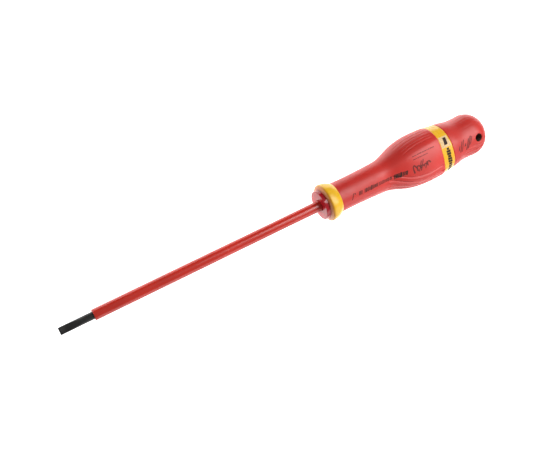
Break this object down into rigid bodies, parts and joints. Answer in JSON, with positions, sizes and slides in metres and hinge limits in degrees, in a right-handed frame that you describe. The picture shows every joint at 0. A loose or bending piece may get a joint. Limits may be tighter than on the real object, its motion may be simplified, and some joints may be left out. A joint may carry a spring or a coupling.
{
  "type": "insulated screwdriver",
  "caption": "Insulated slotted screwdriver with a sleeved shank, a nose bush, a guard ring and a bulb handle with two flats, ribbed sides, a marking band, a waist and a hanging hole.",
  "frame": {"origin": "on the tool's axis at the shoulder, which is the front face of the nose bush", "axes": "+X along the tool's axis from the tip to the handle's end, +Z square to it and away from the flat that the handle lies on"},
  "size_m": [0.259, 0.029, 0.026],
  "materials": {
    "tip_steel": "dark oxide, satin",
    "sleeve_red": "smooth, semi-gloss",
    "bush_crimson": "smooth, semi-gloss",
    "guard_yellow": "smooth, semi-gloss",
    "core_plastic": "moulded",
    "grip_red": "satin, fine grain",
    "band_yellow": "smooth, semi-gloss",
    "print_black": "pad print"
  },
  "bodies": {
    "root": {"blade": "tip_steel", "blade_sleeve": "sleeve_red", "nose_bush": "bush_crimson", "guard_ring": "guard_yellow", "handle_core": "core_plastic", "front_grip": "grip_red", "marking_band": "band_yellow", "rear_grip": "grip_red"}
  },
  "joints": []
}
